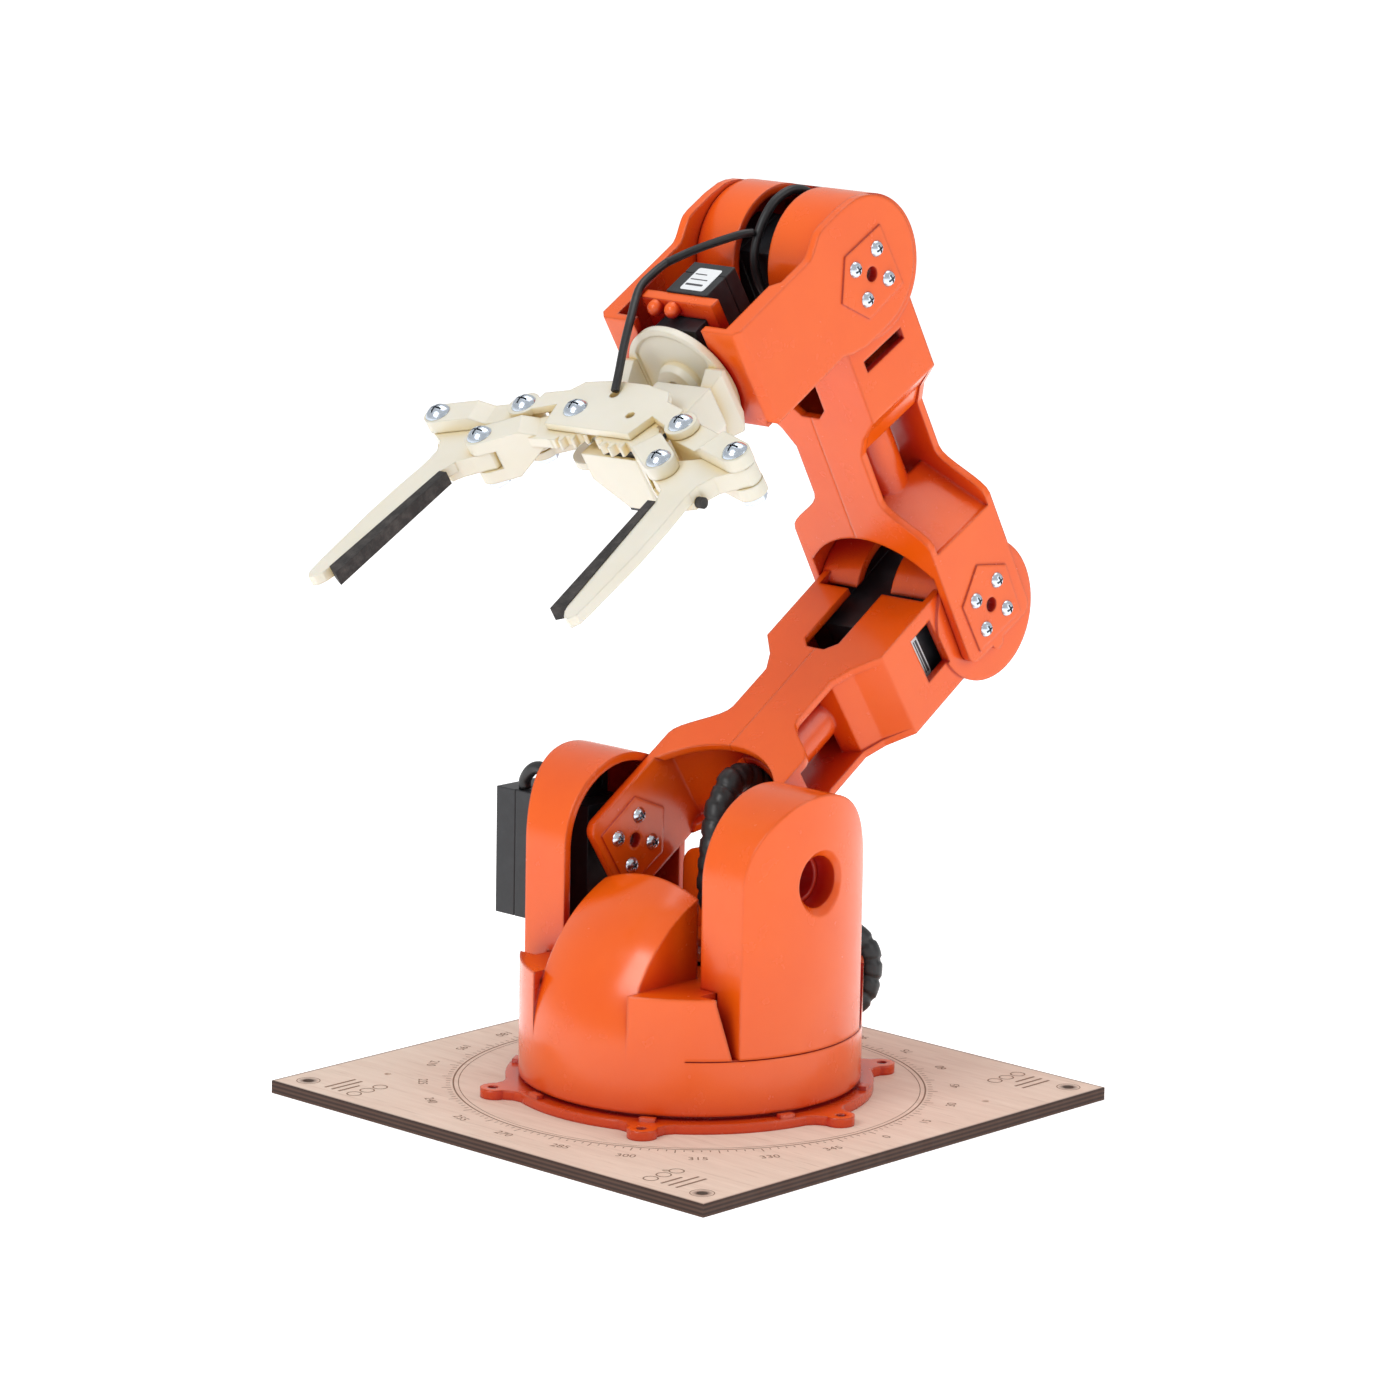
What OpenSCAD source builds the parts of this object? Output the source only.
// Desktop robot arm with five turning joints and a two-finger gripper, on a square board.
// +Z is up, +X is the arm's right side and the arm reaches towards -Y.
// The origin is at the middle of the board's underside.

/* [Board] */
// Side of the square board
board_w = 182.4; // [150:0.2:220]
// Thickness of the board
board_t = 4; // [3:0.5:8]
// Distance from a board edge to its corner hole
hole_inset = 8; // [6:0.5:15]
// Diameter of the corner holes
hole_d = 3.4; // [2:0.1:6]

/* [Base and turret] */
// Outer radius of the fixed ring
ring_r = 57; // [55:0.5:62]
// Distance from the middle of the ring to each lug hole
lug_r = 62.2; // [60:0.2:68]
// Outer radius of the turret
turret_r = 53; // [50:0.5:56]
// Height of the turret's lower edge above the board's underside
turret_z = 8.4; // [7.5:0.1:10]
// Height of the turret's deck
deck_z = 44.5; // [42:0.5:48]
// Height of the shoulder axis
shoulder_z = 77.2; // [74:0.1:80]
// Half length of a cheek, front to back, and radius of its round top
cheek_r = 27; // [26:0.5:30]
// Distance from the middle to a cheek's inner face
cheek_x = 28.9; // [28.6:0.1:30]
// Height of the right cheek's lower edge
cheek_z = 25.5; // [20:0.5:40]

/* [Pose] */
// Tilt of the upper arm back from upright
upper_tilt = 56.6; // [-75:0.1:75]
// Tilt of the forearm back from upright
fore_tilt = -29.1; // [-120:0.1:120]
// Tilt of the hand back from upright
hand_tilt = -121.5; // [-180:0.1:120]

/* [Arm links] */
// Distance between the axes at the ends of a link
link_len = 125; // [115:1:135]
// Half depth of a link, front to back
link_d = 16; // [14:0.5:18]
// Distance from the middle to an ear's outer face
ear_x = 28.3; // [28:0.1:28.5]
// Thickness of an ear
ear_t = 3; // [2.5:0.1:3.5]
// Radius of the drum around a joint
drum_r = 22.7; // [22:0.1:23.5]
// Distance of the drum's centre behind the joint's axis
drum_y = 2.8; // [2:0.1:3.2]
// Radius kept clear around a joint for the drum
crotch_r = 26.3; // [26:0.1:27]
// Half width of the drum
drum_x = 24.9; // [24:0.1:25]
// Half width of a link's box end
box_x = 24; // [22:0.5:24.5]
// Half width of a link's neck
neck_x = 13.5; // [12:0.5:15]
// General wall thickness
wall = 2.5; // [2:0.1:3]

/* [Servos] */
// Length of a standard servo's case
servo_l = 40.5; // [40:0.5:43]
// Width of a standard servo's case
servo_w = 20.5; // [19:0.5:21]
// Height of a standard servo's case
servo_h = 40; // [36:0.5:41]
// Height of the base servo's case
base_servo_h = 37.2; // [36:0.1:38]
// Distance from a servo's output axis to the near end of its case
servo_end = 10.5; // [9:0.5:12]
// Radius of an output horn
horn_r = 10.5; // [9:0.5:11]
// Thickness of an output horn
horn_t = 2.8; // [2:0.1:3]
// Half spacing of the four horn screws along the ear
screw_a = 5.5; // [5:0.1:6]
// Half spacing of the four horn screws across the ear
screw_b = 5.6; // [5:0.1:6]

/* [Gripper] */
// Distance from the middle to each gear axis
gear_x = 11.5; // [11:0.1:12]
// Distance of the gear axes from the wrist axis
gear_s = 92.8; // [90:0.1:100]
// Distance from the middle to each outer link's inner pivot
link_x = 32.9; // [30:0.1:36]
// Distance of the outer links' inner pivots from the wrist axis
link_s = 93.6; // [88:0.1:98]
// Length of each gear arm between its pivots
arm_l = 31.3; // [28:0.1:34]
// Angle of the gear arms out from straight ahead
arm_open = 56.5; // [5:0.5:70]
// Length of each outer link between its pivots
outer_l = 30.7; // [28:0.1:34]
// Angle of the outer links out from straight ahead
outer_open = 72.7; // [5:0.1:80]
// Turn of the whole gripper about the hand's long axis
roll_turn = 1.9; // [-90:0.1:90]
// Number of teeth on each gear
teeth = 18; // [16:1:24]
// Length of a rubber pad
pad_l = 50; // [40:1:60]

/* [Hidden] */
$fn = 64;
orange = [0.95, 0.38, 0.16];
black = [0.07, 0.08, 0.09];
ivory = [0.96, 0.94, 0.86];
steel = [0.72, 0.75, 0.8];
wood = [0.87, 0.78, 0.68];
rubber = [0.16, 0.15, 0.15];

ring_z = board_t;
ring_t = 3;
deck_t = 2.5;
horn_gap = 0.8;
servo_boss = 4.2;
hub_bore = 6.4;
servo_top = servo_h + servo_boss;
servo_total = servo_top + horn_t;
ear_in = ear_x - ear_t;
box_in = servo_total - ear_in + 0.25;
pad_t = 0.6;
slot_x0 = -9.5;
slot_x1 = 4.6;
seam_x = (slot_x0 + slot_x1) / 2;
web_z = 28;
gear_m = 2 * gear_x / teeth;
pose_y = [link_len * sin(upper_tilt), link_len * cos(upper_tilt)];
pose_f = [link_len * sin(fore_tilt), link_len * cos(fore_tilt)];
shoulder = [0, 0, shoulder_z];
elbow = shoulder + [0, pose_y[0], pose_y[1]];
wrist = elbow + [0, pose_f[0], pose_f[1]];

// Small servo of the hand and the gripper
small_l = 31.3;
small_w = 16.5;
small_h = 24;
small_end = 8.3;

// Gripper heights above the hand's middle plane
top_h = 13.5;
top_t = 2.4;
gear_h1 = top_h - top_t - 0.3;
gear_h0 = gear_h1 - 3.4;
arm_h0 = -1.5;
lug_h0 = 3;
lug_h1 = 9;
blade_h0 = 5.6;

// ---- frames ----
module at_upper() { translate(shoulder) rotate([-upper_tilt, 0, 0]) children(); }
module at_fore() { translate(elbow) rotate([-fore_tilt, 0, 0]) children(); }
module at_hand() { translate(wrist) rotate([-hand_tilt, 0, 0]) children(); }
module at_grip() { at_hand() rotate([0, 0, roll_turn]) children(); }

// Flat shape in x and z, thickened along y
module slab(y0, y1) translate([0, y1, 0]) rotate([90, 0, 0]) linear_extrude(y1 - y0) children();

// Flat shape in y and z, thickened along x
module rib(x0, x1) translate([x0, 0, 0]) rotate([90, 0, 90]) linear_extrude(x1 - x0) children();

// Round bar along x
module bar(x0, x1, r, y = 0, z = 0) translate([x0, y, z]) rotate([0, 90, 0]) cylinder(h = x1 - x0, r = r);

// Round bar along y
module pin(y0, y1, r, x = 0, z = 0) translate([x, y1, z]) rotate([90, 0, 0]) cylinder(h = y1 - y0, r = r);

// Points of an arc in a flat shape
function arc(c, r, a0, a1, n = 10) = [for (i = [0:n]) let (a = a0 + (a1 - a0) * i / n)
    [c[0] + r * cos(a), c[1] + r * sin(a)]];
function ease(t) = t * t * (3 - 2 * t);
function flip(p) = [for (i = [len(p) - 1:-1:0]) [-p[i][0], p[i][1]]];
function both(p) = concat(p, flip(p));

// Swept tube along hand-set points, smoothed between them
function spline(p, i, t) = let (n = len(p) - 1, a = p[max(i - 1, 0)], b = p[i], c = p[min(i + 1, n)],
    d = p[min(i + 2, n)])
    0.5 * (2 * b + (c - a) * t + (2 * a - 5 * b + 4 * c - d) * t * t + (3 * b - a - 3 * c + d) * t * t * t);
function route(p, k) = concat([for (i = [0:len(p) - 2]) for (j = [0:k - 1]) spline(p, i, j / k)],
    [p[len(p) - 1]]);
function unit(v) = v / norm(v);
function heading(q, i) = unit(q[min(i + 1, len(q) - 1)] - q[max(i - 1, 0)]);
module tube(points, r, k = 3, sides = 8) {
    q = route(points, k);
    n = len(q);
    // each ring stands square to the route, turned about a fixed side direction
    rings = [for (i = [0:n - 1]) let (d = heading(q, i), u = unit(cross(d, [0.94, 0.31, 0.13])),
        v = cross(d, u))
        for (j = [0:sides - 1]) q[i] + r * (cos(360 * j / sides) * u + sin(360 * j / sides) * v)];
    skin = [for (i = [0:n - 2]) for (j = [0:sides - 1])
        let (a = i * sides + j, b = i * sides + (j + 1) % sides) each [[a, b, b + sides], [a, b + sides,
            a + sides]]];
    polyhedron(rings, concat([[for (j = [sides - 1:-1:0]) j]], skin, [[for (j = [0:sides - 1]) (n - 1)
        * sides + j]]));
}

// ---- fasteners ----
// Domed cross-head screw pointing down z, with its head on z = 0
module screw(r_head = 2.6, h_head = 1.8, r = 1.45, length = 6) {
    rs = (r_head * r_head + h_head * h_head) / (2 * h_head);
    difference() {
        intersection() {
            translate([0, 0, h_head - rs]) sphere(r = rs);
            cylinder(h = h_head + 1, r = r_head);
        }
        for (a = [0, 90]) rotate([0, 0, a]) translate([-r_head * 0.55, -0.35, h_head * 0.45])
            cube([r_head * 1.1, 0.7, h_head]);
    }
    translate([0, 0, -length]) cylinder(h = length + 0.2, r = r);
}

// Hexagon nut under z = 0
module nut(w = 6.4, h = 2.4) rotate([180, 0, 0]) cylinder(h = h, r = w / 2 / cos(30), $fn = 6);

// Four screws of a horn, heads on the plane x, pointing towards -x or +x
module horn_screws(x, side = 1, length = 5.5) {
    for (z = [-1, 1], y = [-1, 1])
        translate([x, y * screw_b, z * screw_a]) rotate([0, 90 * side, 0]) screw(length = length);
}

// ---- servos ----
// Servo with its output axis on z and its case from z = 0 up
module servo(l, w, h, end, boss, fl = 6.7, fz = 0.68, ft = 2.5) {
    difference() {
        union() {
            translate([-end, -w / 2, 0]) cube([l, w, h]);
            translate([-end - fl, -w * 0.44, h * fz]) cube([l + 2 * fl, w * 0.88, ft]);
        }
        for (x = [-end - fl * 0.55, l - end + fl * 0.55], y = [-1, 1])
            translate([x, y * w * 0.24, h * fz - 1]) cylinder(h = ft + 2, r = w * 0.08, $fn = 24);
        // seams between the case's three shells
        for (z = [h * 0.2, h * 0.8]) difference() {
            translate([-end - 0.2, -w / 2 - 0.2, z]) cube([l + 0.4, w + 0.4, 0.5]);
            translate([-end + 0.25, -w / 2 + 0.25, z - 1]) cube([l - 0.5, w - 0.5, 2.5]);
        }
    }
    translate([0, 0, h]) cylinder(h = boss, r = w * 0.3);
}

module horn(r, t) difference() {
    cylinder(h = t, r = r);
    translate([0, 0, -1]) cylinder(h = t + 2, r = 1.5);
    for (x = [-1, 1], y = [-1, 1]) translate([x * screw_a, y * screw_b, -1]) cylinder(h = t + 2, r = 1.5);
}

// ---- base ----
module board() color(wood) difference() {
    translate([-board_w / 2, -board_w / 2, 0]) cube([board_w, board_w, board_t]);
    for (x = [-1, 1], y = [-1, 1])
        translate([x * (board_w / 2 - hole_inset), y * (board_w / 2 - hole_inset), -1])
            cylinder(h = board_t + 2, d = hole_d);
    // blind pilot holes for the ring's screws
    for (a = [0:60:300]) rotate([0, 0, a]) translate([lug_r + 0.6, 0, 0.8]) cylinder(h = board_t, r = 1.25);
    // spare mounting holes
    for (p = [[-72, -60], [60, -74], [76, 52], [-58, 72]]) translate([p[0], p[1], -1])
        cylinder(h = board_t + 2, r = 1.1);
}

// Side of a lug that flares out of the ring
function flare(side, back = false) = let (p = [[48, 13], [ring_r - 1.5, 10], [ring_r + 1, 6],
    [lug_r - 0.5, 4]])
    [for (i = [0:3]) let (q = p[back ? 3 - i : i]) [q[0], side * q[1]]];

// Outline of the ring and its six screw lugs
module ring_outline() difference() {
    union() {
        circle(r = ring_r);
        for (a = [0:60:300]) rotate([0, 0, a]) {
            translate([lug_r, 0]) circle(r = 4.6);
            polygon(concat(flare(-1), flare(1, true)));
        }
    }
    for (a = [0:60:300]) rotate([0, 0, a]) translate([lug_r + 0.6, 0]) circle(r = 1.6);
    translate([-servo_end - 0.4, -servo_w / 2 - 0.4]) square([servo_l + 0.8, servo_w + 0.8]);
}

// Lip that guides the turret's skirt
module guide_lip() translate([0, 0, ring_z + 1]) linear_extrude(ring_t + 4) difference() {
    circle(r = turret_r - wall - 0.5);
    circle(r = turret_r - wall - 3.5);
}

module base_ring() color(orange) {
    translate([0, 0, ring_z]) linear_extrude(ring_t) ring_outline();
    guide_lip();
    // catches that hold the skirt from outside
    for (a = [-15:45:300]) rotate([0, 0, a])
        translate([turret_r + 0.8, -2.5, ring_z + 1]) cube([2.4, 5, ring_t + 0.2]);
    // pillars under the servo's flange
    for (x = [-17.2, servo_l - servo_end + 0.4])
        translate([x, -9, ring_z + 1]) cube([6.3, 18, base_servo_h * 0.68 - 0.8]);
}

module ring_screws() color(black)
    for (a = [0:60:300]) rotate([0, 0, a]) translate([lug_r + 0.6, 0, ring_z + 1.6]) {
        translate([0, 0, -4.6]) cylinder(h = 4.6, r = 1.2);
        cylinder(h = 0.8, r = 1.55);
    }

module base_servo() color(black) translate([0, 0, ring_z + 0.2])
    servo(servo_l, servo_w, base_servo_h, servo_end, servo_boss);

// ---- turret ----
horn_top = ring_z + 0.2 + base_servo_h + servo_boss + horn_t;

module base_horn() color(steel) translate([0, 0, horn_top - horn_t]) horn(horn_r, horn_t);

module cheek_block(x0, r_out, r_arch) intersection() {
    cylinder(h = 200, r = r_out);
    union() {
        bar(x0, 60, r_arch, 0, shoulder_z);
        translate([x0, -r_arch, cheek_z]) cube([60, 2 * r_arch, shoulder_z - cheek_z]);
    }
}

// Gap in the skirt where a cheek stands
module skirt_gap(x0) rib(x0, 70)
    polygon([[-cheek_r - 0.2, cheek_z], [-cheek_r - 2, cheek_z], [-cheek_r - 4.6, deck_z - 8],
        [-cheek_r - 6, deck_z - 2],
        [-cheek_r - 6.3, deck_z + 1], [cheek_r + 6.3, deck_z + 1], [cheek_r + 6, deck_z - 2],
            [cheek_r + 2, cheek_z], [cheek_r + 0.2, cheek_z]]);

dome_x = 19.6;
dome_y = 18.4;
dome_z = 23.5;
guard_x = 22.5;
guard_y = 19.5;
guard_top = 73;

// Round drum whose front, between the cheeks, is drawn in to a ball above dome_z
module domed_drum(r, z0, z1) difference() {
    translate([0, 0, z0]) cylinder(h = z1 - z0, r = r);
    difference() {
        translate([-dome_x, -60, dome_z]) cube([2 * dome_x, 60 - dome_y, 60]);
        translate([0, 0, dome_z]) sphere(r = r, $fn = 96);
    }
}

// Guard wall behind the shoulder, with a hole for the cable loom
module rear_wall() difference() {
    slab(guard_y, guard_y + wall) hull() {
        translate([-guard_x, deck_z - 1]) square([2 * guard_x, 1]);
        for (s = [-1, 1]) translate([s * (guard_x - 6), guard_top - 6]) circle(r = 6, $fn = 32);
    }
    pin(guard_y - 1, guard_y + wall + 1, 6, 12.5, 52.5);
}

module turret_body() color(orange) difference() {
    union() {
        difference() {
            domed_drum(turret_r, turret_z, deck_z);
            domed_drum(turret_r - wall, turret_z - 1, deck_z - deck_t);
            for (m = [0, 1]) mirror([m, 0, 0]) skirt_gap(cheek_x + 6);
        }
        rear_wall();
        // hub over the base servo's horn
        translate([0, 0, deck_z - deck_t]) cylinder(h = horn_top + wall - deck_z + deck_t, r = 14);
        // front dome
        intersection() {
            translate([0, 0, dome_z]) sphere(r = turret_r, $fn = 96);
            translate([-dome_x, -60, deck_z - deck_t]) cube([2 * dome_x, 60 - dome_y, 60]);
        }
    }
    // seam line under the cheeks
    translate([0, 0, cheek_z - 0.4]) difference() {
        cylinder(h = 0.4, r = turret_r + 1);
        translate([0, 0, -1]) cylinder(h = 3, r = turret_r - 0.7);
        translate([-cheek_x - 6, -60, -1]) cube([2 * cheek_x + 12, 120, 3]);
    }
    // hollow of the dome, open at the back
    intersection() {
        translate([0, 0, dome_z]) sphere(r = turret_r - wall, $fn = 96);
        translate([-dome_x + wall, -60, deck_z]) cube([2 * dome_x - 2 * wall, 60, 60]);
    }
    cylinder(h = horn_top, r = horn_r + horn_gap);
    cylinder(h = horn_top + 10, r = 1.5);
    // notch where the cable loom leaves at the back
    rotate([0, 0, 57]) translate([44, -7.5, 22]) cube([20, 15, 40]);
    rotate([0, 0, 57]) translate([34, -7.5, deck_z - 5]) cube([20, 15, 40]);
    // hole where the loom comes up through the deck
    translate([13, 22, 30]) cylinder(h = 30, r = 6.5);
}

module left_cheek() color(orange) mirror([1, 0, 0]) difference() {
    cheek_block(cheek_x, turret_r, cheek_r);
    cheek_block(cheek_x - 1, turret_r - 3.2, cheek_r - 2.6);
    translate([cheek_x - 1, -cheek_r - 1, cheek_z - 1]) cube([8, 2 * cheek_r + 2, deck_z - cheek_z + 1]);
    // opening for the shoulder servo's case
    translate([cheek_x, -servo_w / 2 - 0.3, shoulder_z - servo_l + servo_end - 0.3]) cube([40,
        servo_w + 0.6, servo_l + 0.6]);
    // hole where the shoulder servo's lead comes in
    translate([53.4, -9, 94.2]) rotate([0, 223.4, 0]) translate([0, 0, -8]) cylinder(h = 18, r = 3.2);
}

module right_cheek() color(orange) difference() {
    union() {
        difference() {
            cheek_block(cheek_x, turret_r, cheek_r);
            cheek_block(cheek_x - 1, turret_r - 3.2, cheek_r - 2.6);
            translate([cheek_x - 1, -cheek_r - 1, cheek_z - 1]) cube([8, 2 * cheek_r + 2,
                deck_z - cheek_z + 1]);
        }
        bar(cheek_x + 0.2, turret_r - 1.5, 12.5, 0, shoulder_z);
    }
    bar(cheek_x - 1, 60, 8, 0, shoulder_z);
    // rounded mouth of the bore
    translate([turret_r - 2.2, 0, shoulder_z]) rotate([0, 90, 0]) cylinder(h = 3, r1 = 8, r2 = 11);
}

module at_shoulder_servo() translate([-ear_x - servo_total, 0, shoulder_z]) rotate([0, 90, 0]) children();

module shoulder_servo() color(black) at_shoulder_servo()
    servo(servo_l, servo_w, servo_h, servo_end, servo_boss);

module shoulder_horn() color(steel) at_upper() translate([-ear_x - horn_t, 0, 0]) rotate([0, 90, 0])
    horn(horn_r, horn_t);

// ---- arm link, in its own frame: z from the fork's axis to the servo's axis ----
function neck_curve() = [for (i = [0:8]) let (t = i / 8) [neck_x + (ear_x - neck_x) * ease(1 - t),
    32 + 16 * t]];
function panel_half() = concat([[ear_x, 18]], neck_curve(), [[neck_x, 66], [17, 72.5], [box_x, 80],
    [box_x, 106]]);

module ear_shape() polygon(concat([[-link_d, web_z + 1]], arc([-link_d + 4, -9], 4, 180, 270, 6),
    arc([link_d - 4, -9], 4, 270, 360, 6), [[link_d, web_z + 1]]));

// Raised five-sided pad around the horn screws
module ear_pad() polygon([[0, 15.3], [11.6, 7.3], [11, -10.5], [-11, -10.5], [-11.6, 7.3]]);

module ear_holes() {
    bar(-60, 60, 2.4);
    for (z = [-1, 1], y = [-1, 1]) bar(-60, 60, 1.5, y * screw_b, z * screw_a);
}

module fork(pad_in) {
    for (m = [0, 1]) mirror([m, 0, 0]) {
        rib(ear_in, ear_x) ear_shape();
        if (!pad_in) rib(ear_x - 1, ear_x + pad_t) ear_pad();
        // sloping wall from the ear in to the column
        slab(-link_d + 1, link_d - 1) polygon([[ear_in, web_z - 3], [ear_x, web_z - 3], [ear_x, web_z],
            [6, 43], [6, 40], [ear_in, web_z - 0.8]]);
    }
    if (pad_in) rib(-ear_in - 1, -ear_in + pad_t) ear_pad();
}

module link_solid(window, pad_in) difference() {
    union() {
        for (y = [-link_d, link_d - wall]) slab(y, y + wall) polygon(both(panel_half()));
        fork(pad_in);
        // cable column in the neck
        translate([0, 0, 35]) cylinder(h = 40, r = 8.5);
        // lower wall of the box
        for (m = [0, 1]) mirror([m, 0, 0])
            slab(-link_d, link_d) polygon([[6, 64], [neck_x - 1, 66], [16.4, 72.6], [box_x, 80], [box_x,
                83], [box_x - wall, 82.5], [15.5, 75], [6, 69]]);
        // sides of the box
        for (m = [0, 1]) mirror([m, 0, 0]) rib(box_x - wall, box_x) polygon([[-link_d, 80], [link_d, 80],
            [link_d, 112], [-link_d, 112]]);
        bar(-drum_x, drum_x, drum_r, drum_y, link_len);
    }
    // inside of the drum and the box
    bar(-drum_x + wall, drum_x - wall, drum_r - wall, drum_y, link_len);
    translate([-box_in, -link_d + wall, 84])
        cube([box_in + box_x - wall, 2 * link_d - 2 * wall, link_len - 84]);
    // mouth for the horn, and recess with its pin for the idler
    bar(drum_x - wall - 1, drum_x + 1, horn_r + horn_gap, 0, link_len);
    difference() {
        bar(-drum_x - 1, -drum_x + 1.6, horn_r + horn_gap, 0, link_len);
        bar(-drum_x - 0.3, -drum_x + 3, 4, 0, link_len);
    }
    // slot in the front, through the drum
    slab(-40, 0) polygon([[slot_x0, link_len + 30], [slot_x0, 82], [slot_x0 + 3.5, 78.5], [slot_x1 - 3.5,
        78.5], [slot_x1, 82], [slot_x1, link_len + 30]]);
    translate([slot_x0, -1, link_len + 8]) cube([slot_x1 - slot_x0, 19, 30]);
    // window in the right side of the box
    rib(box_x - 5, box_x + 5) translate([window[0], window[1]]) square([window[2], window[3]]);
    // bore of the column and the crotch
    translate([0, 0, 20]) cylinder(h = 70, r = 6);
    pin(-20, 20, 33, 0, -0.8);
    bar(-ear_in, ear_in, crotch_r);
    ear_holes();
}

// Side windows: front edge, lower edge, depth and height
upper_window = [-11, 93, 17, 10.5];
fore_window = [-11, 95.5, 19, 4];

module side_of(right) intersection() {
    children();
    translate([right ? seam_x : seam_x - 80, -60, -60]) cube([80, 120, 260]);
}

// the fork's ears are cut back by the crotch, so they are added again whole
module link_half(right, window, pad_in = false) {
    side_of(right) difference() {
        union() {
            link_solid(window, pad_in);
            difference() {
                for (m = [0, 1]) mirror([m, 0, 0]) {
                    rib(ear_in, ear_x) ear_shape();
                    if (!pad_in) rib(ear_x - 0.5, ear_x + pad_t) ear_pad();
                }
                ear_holes();
            }
            if (pad_in) difference() {
                rib(-ear_in - 0.5, -ear_in + pad_t) ear_pad();
                ear_holes();
            }
        }
    }
}

module upper_left() color(orange) at_upper() link_half(false, upper_window, true);
module upper_right() color(orange) at_upper() {
    difference() {
        link_half(true, upper_window, true);
        bar(ear_in - 1, ear_x + 1, hub_bore);
    }
    // pivot hub that turns in the right cheek
    difference() {
        bar(ear_x - 0.2, 44, 7.95);
        bar(ear_x - 3.5, 47, hub_bore);
    }
}
module fore_left() color(orange) at_fore() link_half(false, fore_window);
module fore_right() color(orange) at_fore() {
    link_half(true, fore_window);
    // stop nub on the lower edge of the ear
    rib(ear_in, ear_x) intersection() {
        translate([-2, -13]) circle(r = 2.6);
        translate([-6, -17]) square([8, 4]);
    }
}

module shoulder_screws() color(steel) at_upper() horn_screws(-ear_in + pad_t, 1, 5.8);

// Servo inside a link's drum
module link_servo() translate([ear_in - servo_total, 0, link_len]) rotate([0, 90, 0])
    servo(servo_l, servo_w, servo_h, servo_end, servo_boss, 5);

module elbow_servo() color(black) at_upper() link_servo();
module wrist_servo() color(black) at_fore() link_servo();

module ear_horn() color(steel) translate([ear_in - horn_t, 0, 0]) rotate([0, 90, 0]) horn(horn_r, horn_t);
module ear_idler() color(orange) translate([-ear_in, 0, 0]) rotate([0, 90, 0]) difference() {
    horn(horn_r, 1.8);
    translate([0, 0, -1]) cylinder(h = 6, r = 4.05);
}

module elbow_horn() at_fore() ear_horn();
module elbow_idler() at_fore() ear_idler();
module elbow_screws() color(steel) at_fore() {
    horn_screws(ear_x + pad_t, 1, 6);
    horn_screws(-ear_x - pad_t, -1, 5.6);
}
module wrist_horn() at_hand() ear_horn();
module wrist_idler() at_hand() ear_idler();
module wrist_screws() color(steel) at_hand() {
    horn_screws(ear_x + pad_t, 1, 6);
    horn_screws(-ear_x - pad_t, -1, 5.6);
}

// ---- hand ----
hand_top = 19.5;
hand_low = 14.8;
hand_s = 58;

function hand_profile() = concat(
    [[hand_top, hand_s], [hand_top, 21]],
    [for (i = [1:7]) let (t = i / 8) [hand_top + 5 * ease(t), 21 - 10 * t]],
    [[24.6, 10], [24.6, 1]],
    arc([3, 0], 21.6, -15, -180, 18),
    [[-18.6, 4], [-18.4, 12], [-17, 17]],
    [for (i = [1:4]) let (t = i / 4) [-17 + 2.2 * ease(t), 17 + 6 * t]],
    [[-hand_low, hand_s - 2], [-hand_low + 2, hand_s]]);

module hand_wall() rib(ear_in, ear_x) polygon(hand_profile());

module hand_shell() color(orange) difference() {
    union() {
        for (m = [0, 1]) mirror([m, 0, 0]) {
            hand_wall();
            rib(ear_x - 0.5, ear_x + pad_t) ear_pad();
        }
        // floor
        rib(-ear_in - 0.5, ear_in + 0.5) polygon([[-hand_low, 31], [-hand_low + wall, 31],
            [-hand_low + wall, hand_s], [-hand_low, hand_s - 1]]);
        // front wall
        slab(-hand_low, hand_top) polygon([[-ear_in - 0.5, hand_s - wall], [ear_in + 0.5, hand_s - wall],
            [ear_in + 0.5, hand_s], [-ear_in - 0.5, hand_s]]);
        // bevelled thickening inside the walls
        for (m = [0, 1]) mirror([m, 0, 0]) slab(-hand_low, hand_top)
            polygon([[ear_in + 0.5, 31], [ear_in - 3, 34], [ear_in - 3, hand_s - 1], [ear_in + 0.5,
                hand_s - 1]]);
    }
    // notch in the front wall
    slab(-9, 40) polygon([[-14, hand_s - 6], [14, hand_s - 6], [14, hand_s + 2], [-14, hand_s + 2]]);
    // slanted front edges
    for (m = [0, 1]) mirror([m, 0, 0]) slab(-40, 40) polygon([[ear_x + 2, hand_s - 4.5], [ear_x + 2,
        hand_s + 2], [ear_x - 4, hand_s + 2]]);
    bar(-ear_in, ear_in, crotch_r);
    ear_holes();
}

// Bridge over the roll servo's gear box, standing on the hand's floor
bridge_s = 46.2;
bridge_t = 3.6;
module servo_bridge() color(orange) difference() {
    slab(-hand_low + wall, 22.5) polygon([[-16, bridge_s], [13, bridge_s], [13, bridge_s + bridge_t],
        [-16, bridge_s + bridge_t]]);
    slab(-hand_low, 16.9) translate([-small_w / 2 - 0.2, bridge_s - 1]) square([small_w + 0.4,
        bridge_t + 2]);
}

// Two round posts on the bridge's front
module servo_posts() color(orange) for (x = [-10, -3]) translate([x, 19.9, bridge_s + bridge_t]) {
    cylinder(h = 1.4, r = 2.5);
    intersection() {
        translate([0, 0, 1.4]) sphere(r = 2.5, $fn = 32);
        cylinder(h = 5, r = 3);
    }
}

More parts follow.
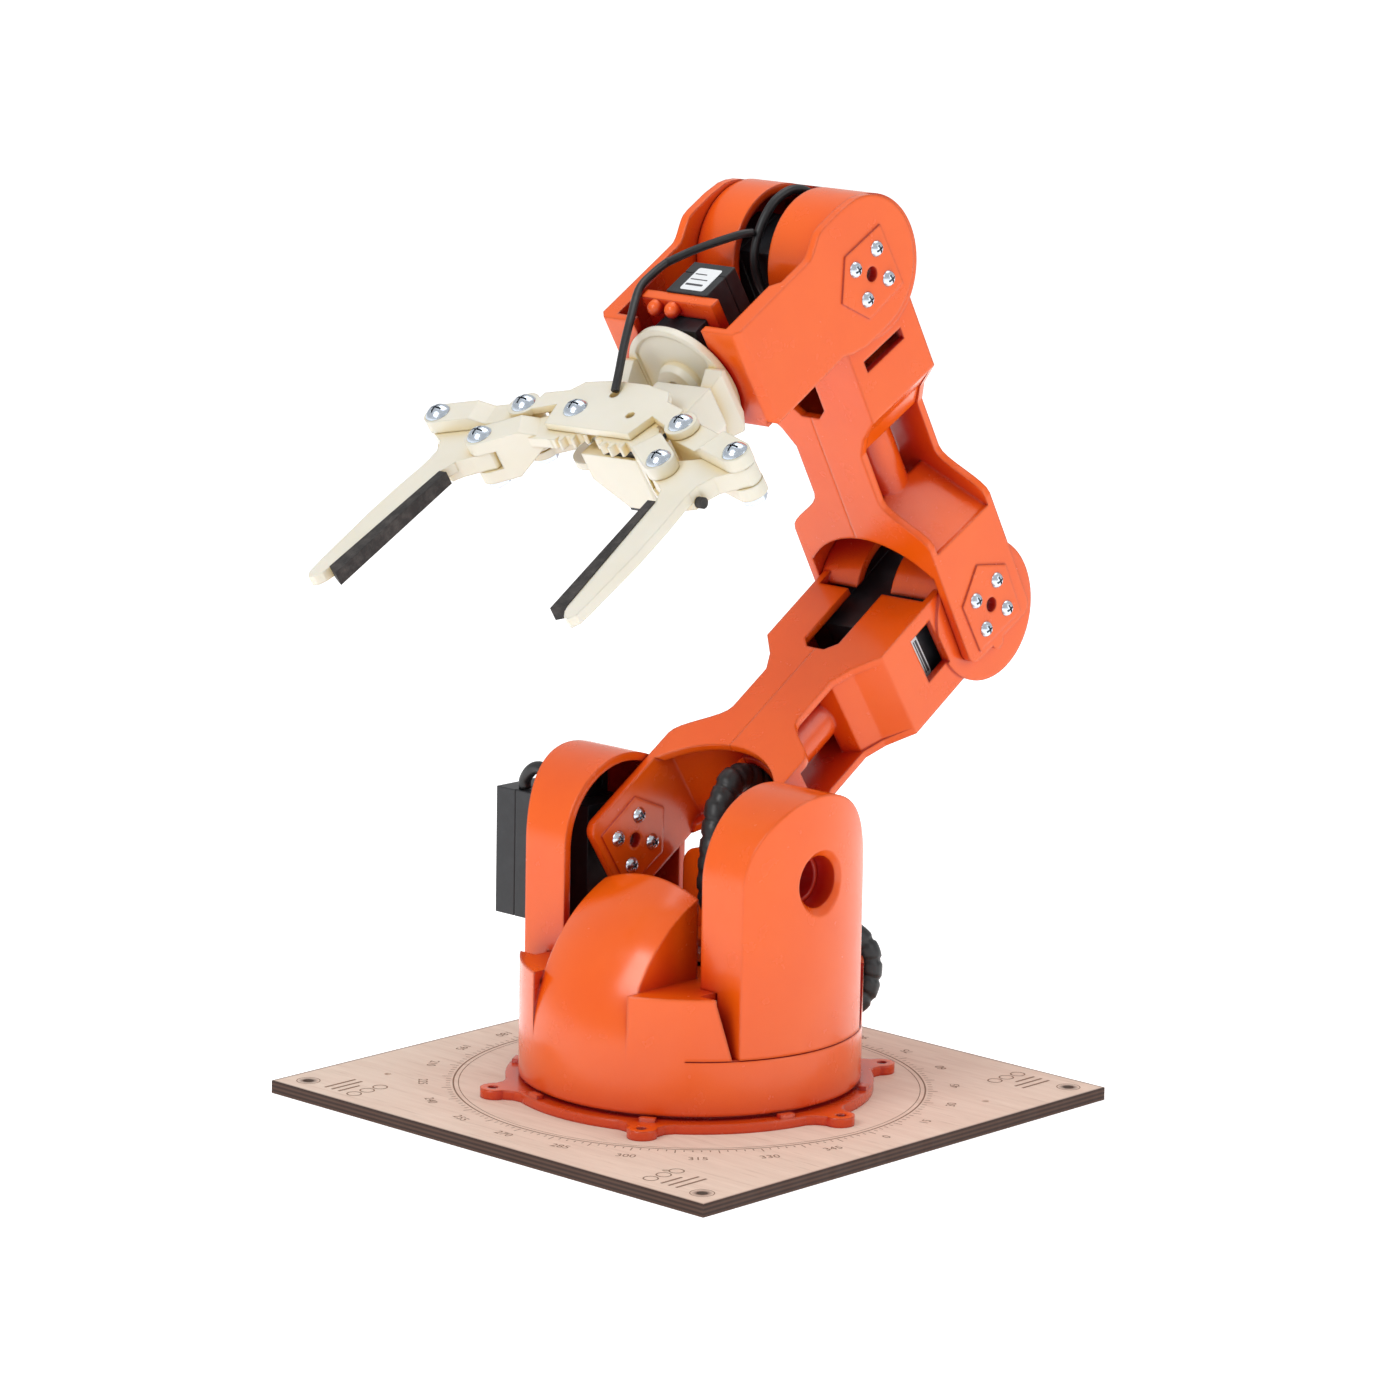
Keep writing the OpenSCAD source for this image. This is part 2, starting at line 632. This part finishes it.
// Roll servo: its case is stepped down under the bridge
module roll_servo() color(black) difference() {
    translate([0, 0, hand_s - 2.4 - small_h]) rotate([0, 0, 90])
        servo(small_l, small_w, small_h, small_end, 1.6, 0.01, 0.72, 2);
    translate([-20, 16.5, bridge_s - 0.2]) cube([40, 20, 20]);
}

module roll_horn() color(steel) translate([0, 0, hand_s - 0.8]) cylinder(h = 1.6, r = 7);

// ---- gripper ----
module at_gear(side) translate([side * gear_x, 0, gear_s]) rotate([0, side * arm_open, 0]) children();
module at_link(side) translate([side * link_x, 0, link_s]) rotate([0, side * outer_open, 0]) children();
module at_finger(side) translate([side * (gear_x + arm_l * sin(arm_open)), 0,
    gear_s + arm_l * cos(arm_open)]) children();
// Place of the outer pivot in the finger's own frame
lug_dx = link_x + outer_l * sin(outer_open) - gear_x - arm_l * sin(arm_open);
lug_ds = link_s + outer_l * cos(outer_open) - gear_s - arm_l * cos(arm_open);

disc_s = hand_s + 0.8;
disc_t = 2.4;
wing_s = disc_s + disc_t;
body_s = 69.5;

module roll_disc() color(ivory) difference() {
    union() {
        translate([0, 0, disc_s]) cylinder(h = disc_t, r = 20);
        // collar around the middle screw
        translate([0, 0, wing_s]) cylinder(h = 3, r1 = 8.5, r2 = 7);
    }
    // shallow dish in the front face
    translate([0, 0, wing_s - 0.8]) difference() {
        cylinder(h = 2, r1 = 17.2, r2 = 19.2);
        translate([0, 0, -1]) cylinder(h = 4, r = 8);
        translate([-25, -20, -1]) cube([10.5, 40, 4]);
        translate([14.5, -20, -1]) cube([10, 40, 4]);
    }
    translate([0, 0, disc_s - 1]) cylinder(h = 10, r = 3);
}

// Faceted wings from the disc to the gripper's body, joined by a low bar
module bracket() color(ivory) {
    for (m = [0, 1]) mirror([m, 0, 0]) intersection() {
        slab(-13, 9) polygon([[15, wing_s], [21.5, wing_s], [22, wing_s + 2.5], [17.5, body_s], [15,
            body_s]]);
        rib(14, 23) polygon([[8, wing_s], [8.4, wing_s + 1.5], [3.5, body_s], [-13, body_s], [-13,
            wing_s + 3], [-8, wing_s]]);
    }
    slab(-13, -10.6) polygon([[-15, wing_s + 3], [15, wing_s + 3], [15, body_s], [-15, body_s]]);
}

module top_plate_shape() difference() {
    union() {
        polygon(both([[7, 78.5], [17.5, 80.5], [20.5, 85], [29, 87.5], [29.5, 96], [20, 92], [17.5, 101],
            [0, 101]]));
        for (s = [-1, 1]) { translate([s * link_x, link_s]) circle(r = 5.2); translate([s * gear_x,
            gear_s]) circle(r = 7.4); }
    }
}

module gripper_body() color(ivory) difference() {
    union() {
        slab(top_h - top_t, top_h) top_plate_shape();
        // faceted housing around the gripper servo, with a roof over the servo's tail
        intersection() {
            slab(-15, 5) polygon([[-5.6, body_s], [22, body_s], [22, 96], [17, 102.4], [-5.6, 102.4]]);
            translate([0, 0, body_s]) linear_extrude(40)
                polygon([[-5.6, 4.5], [-5.6, -5], [5, -14.5], [18, -14.5], [22, -6], [22, 4.5]]);
        }
        slab(0, 7.2) polygon([[0, body_s], [22, body_s], [22, 83.5], [0, 83.5]]);
        // post that carries the plate
        pin(0, top_h - top_t + 0.1, 3, 0, 81.8);
        for (s = [-1, 1]) pin(arm_h0 - 3, arm_h0 - 0.4, 5, s * link_x, link_s);
        slab(arm_h0 - 3, arm_h0 - 0.4) polygon(both([[10, 78], [20, 80], [34, 88], [31, 96], [20, 90],
            [10, 88]]));
        pin(arm_h0 - 3, arm_h0 - 0.4, 7, -gear_x, gear_s);
    }
    slab(-17, 6.5) polygon([[gear_x - small_w / 2 - 0.2, gear_s - small_l + small_end - 0.2],
        [gear_x + small_w / 2 + 0.2, gear_s - small_l + small_end - 0.2],
        [gear_x + small_w / 2 + 0.2, gear_s + small_end + 0.2], [gear_x - small_w / 2 - 0.2,
            gear_s + small_end + 0.2]]);
    for (s = [-1, 1]) pin(-30, 30, 1.5, s * link_x, link_s);
    for (s = [-1, 1]) pin(0, 30, 1.5, s * gear_x, gear_s);
    pin(-30, 30, 1.5, -gear_x, gear_s);
    pin(top_h - 5, top_h + 1, 1.6, -2, 84.5);
}

module gripper_servo() color(black) translate([gear_x, -16.6, gear_s]) rotate([-90, 0, 0]) rotate([0, 0,
    90])
    servo(small_l, small_w, small_h - 1, small_end, 0.8, 0.01, 0.72, 2);

module body_screws() color(steel) {
    for (x = [-link_x, link_x]) translate([x, top_h, link_s]) rotate([-90, 0, 0]) screw(4, 2.4, 1.45,
        top_h - arm_h0 + 6);
    translate([-gear_x, top_h, gear_s]) rotate([-90, 0, 0]) screw(4, 2.4, 1.45, top_h - arm_h0 + 6);
}
module body_nuts() color(steel) for (x = [-link_x, -gear_x, link_x])
    translate([x, arm_h0 - 3, x == -gear_x ? gear_s : link_s]) rotate([-90, 0, 0]) difference()
        { nut(); translate([0, 0, -5]) cylinder(h = 9, r = 1.45); }

// Outline of one gear, with a tooth centred on the angle given
function tooth(c, w) = let (ro = gear_x + gear_m * 0.8, rf = gear_x - gear_m * 0.95, p = 90 / teeth)
    [for (k = [[-1.28, rf], [-0.92, gear_x - gear_m * 0.1], [-0.42, ro], [0.42, ro], [0.92,
        gear_x - gear_m * 0.1], [1.28, rf]])
        let (a = c + k[0] * p * w) [k[1] * cos(a), k[1] * sin(a)]];
module gear_shape(c0) polygon([for (i = [0:teeth - 1]) each tooth(c0 + i * 360 / teeth, 0.93)]);

// Arm of the given length: flat at the inner pivot, full height and forked at its round outer end
module lap_arm(half, length, low_h) difference() {
    intersection() {
        slab(arm_h0, top_h) polygon(concat([[half, 0]], arc([0, length], half, 0, 180, 16), [[-half, 0]]));
        rib(-half - 1, half + 1) polygon([[low_h, 0], [low_h, 10.5], [arm_h0, 23], [arm_h0, length + 6],
            [top_h, length + 6], [top_h, 18], [gear_h1, 13], [gear_h1, 0]]);
    }
    // room for the finger's lug
    slab(lug_h0 - 0.2, lug_h1 + 0.2) translate([0, length]) circle(r = 6.4);
    slab(lug_h0 - 0.2, lug_h1 + 0.2) translate([-15, length - 1]) square([30, 20]);
}

module gear_arm(side) color(ivory) at_gear(side) difference() {
    union() {
        slab(gear_h0, gear_h1) gear_shape(side > 0 ? 180 + arm_open + 180 / teeth : -arm_open);
        lap_arm(4.8, arm_l, gear_h0);
        // cheek that closes the left gear's front
        if (side < 0) slab(gear_h0, gear_h1) polygon([[0, 0], [0, 15], [4.8, 16], [7.6, 10.6], [9.9,
            6.8], [8, 4]]);
    }
    pin(-30, 30, 1.5, 0, 0);
    pin(-30, 30, 1.5, 0, arm_l);
}

module outer_link(side) color(ivory) at_link(side) difference() {
    union() {
        pin(arm_h0, gear_h1, 4.8);
        lap_arm(4.6, outer_l, arm_h0);
    }
    // room for the finger's crank beside the outer pivot
    mirror([side > 0 ? 0 : 1, 0, 0]) slab(lug_h0 - 0.2, lug_h1 + 0.2) translate([0, outer_l])
        polygon([[8, 8], [8, 0], [4.2, -2.9], [-4.8, -16.3], [-8, -16.3], [-8, 8]]);
    pin(-30, 30, 1.52, 0, 0);
    pin(-30, 30, 2.6, 0, outer_l);
}

// Crank across the two pivots, seen along them
module crank_shape() polygon(concat(arc([0, 0], 4.6, 150, 270, 8), arc([lug_dx, lug_ds], 4.4, 255, 390, 8),
    [[19.6, 0], [17, 4.6], [16.8, 8], [7.8, 10.6], [5.4, 8], [1.5, 5.4]]));

// Edge of the pad against the blade, and the pad's own inner edge
pad_s = 13.4;
pad_root = 4.7;
pad_tip = 7.6;
blade_root = 7.8;
blade_tip = 12.6;

// Finger in its own frame: origin on its inner pivot, for the right side
module finger(side) color(ivory) at_finger(side) mirror([side > 0 ? 0 : 1, 0, 0]) difference() {
    union() {
        slab(lug_h0, lug_h1) crank_shape();
        // flat blade behind the pad
        slab(blade_h0, lug_h1) polygon([[16.6, 3.5], [16.8, 12], [18, 22], [18.9, 36], [18.9, 58], [18.6,
            64],
            [17, 66.2], [15, 65.6], [13.4, 63.4], [blade_tip, pad_s + pad_l - 2.6], [blade_root, pad_s],
                [5.6, 8.6]]);
    }
    pin(-30, 30, 1.5, 0, 0);
    pin(-30, 30, 1.5, lug_dx, lug_ds);
}

module finger_pad(side) color(rubber) at_finger(side) mirror([side > 0 ? 0 : 1, 0, 0])
    slab(blade_h0 - 0.7, lug_h1 + 0.3)
        polygon([[pad_root, pad_s], [blade_root, pad_s], [blade_tip, pad_s + pad_l - 2.6], [pad_tip,
            pad_s + pad_l]]);

// Small rubber plug under the outer side of a finger's root
module finger_plug(side) color(rubber) at_finger(side) mirror([side > 0 ? 0 : 1, 0, 0])
    translate([17.05, (lug_h0 + blade_h0) / 2 + 0.3, 6.4]) rotate([0, 90, 0]) cylinder(h = 2.2, r = 1.7);

// Running gap under the head and over the nut of a finger's screw
run_gap = 0.06;

module finger_screws(side) color(steel) at_finger(side) mirror([side > 0 ? 0 : 1, 0, 0])
    for (p = [[0, 0], [lug_dx, lug_ds]]) translate([p[0], top_h + run_gap, p[1]]) {
        rotate([-90, 0, 0]) screw(4, 2.4, 1.45, top_h - arm_h0 + 2.8);
        translate([0, arm_h0 - top_h - 2 * run_gap, 0]) rotate([-90, 0, 0]) nut(6.6, 2.4);
    }

// ---- cables ----
loom_turret = [[6, 2, 65], [8, 8, 59.5], [11, 15, 54], [13.2, 22, 52.3], [20, 34, 51.5], [26.6, 42.6,
    49.5], [30, 46.9, 44], [30.5, 47.6, 36.5], [29.2, 45.6, 29.5], [25.5, 39.6, 25.5]];
loom_upper = [[0, 0.8, 60], [0, 0.8, 50], [0, 0.6, 42], [0, 0.3, 37], [0.2, -2.2, 32.5], [0.6, -6.8, 28],
    [1.3, -8.6, 23.5], [2, -7.5, 19], [3, -5, 12]];
lead_shoulder = [[-66, -7, 87.9], [-65.8, -7.2, 91], [-62, -8, 94.8], [-57.6, -8.5, 96], [-53.4, -9,
    94.2], [-50, -9, 90.6]];
lead_wrist = [[-4, -13, -8], [-4, -15, 3], [-4, -13, 11.5], [-3.6, -7, 18], [-3, 1, 21.8], [-2.5, 9,
    21.2], [-2, 14.5, 17], [-2, 16.5, 11]];
lead_grip = [[-4, 18.5, 9.5], [-6, 20.5, 14], [-14, 21.5, 23.5], [-19, 22.5, 33], [-19.5, 22.8, 39],
    [-18, 23.4, 47.5], [-12, 22.4, 59.5], [-8, 19.6, 69.5], [-4, 16.4, 79], [-2.2, 14.4, 84]];

module turret_loom() color(black) tube(loom_turret, 4.5, 3);
module upper_loom() color(black) at_upper() tube(loom_upper, 4.5, 3);
module shoulder_lead() color(black) tube(lead_shoulder, 2, 2);
module wrist_lead() color(black) at_fore() translate([0, 0, link_len]) tube(lead_wrist, 1.6, 3);
module gripper_lead() color(black) at_hand() tube(lead_grip, 1.3, 3);

board();
base_ring();
ring_screws();
base_servo();
base_horn();
turret_body();
left_cheek();
right_cheek();
shoulder_servo();
turret_loom();
shoulder_lead();
upper_left();
upper_right();
shoulder_horn();
shoulder_screws();
elbow_servo();
upper_loom();
fore_left();
fore_right();
elbow_horn();
elbow_idler();
elbow_screws();
wrist_servo();
wrist_lead();
at_hand() hand_shell();
wrist_horn();
wrist_idler();
wrist_screws();
at_hand() servo_bridge();
at_hand() servo_posts();
at_hand() roll_servo();
gripper_lead();
at_grip() roll_horn();
at_grip() roll_disc();
at_grip() bracket();
at_grip() gripper_body();
at_grip() gripper_servo();
at_grip() body_screws();
at_grip() body_nuts();
at_grip() gear_arm(-1);  // left_gear_arm
at_grip() outer_link(-1);  // left_link
at_grip() finger(-1);  // left_finger
at_grip() finger_pad(-1);  // left_pad
at_grip() finger_plug(-1);  // left_plug
at_grip() finger_screws(-1);  // left_finger_screws
at_grip() gear_arm(1);  // right_gear_arm
at_grip() outer_link(1);  // right_link
at_grip() finger(1);  // right_finger
at_grip() finger_pad(1);  // right_pad
at_grip() finger_plug(1);  // right_plug
at_grip() finger_screws(1);  // right_finger_screws
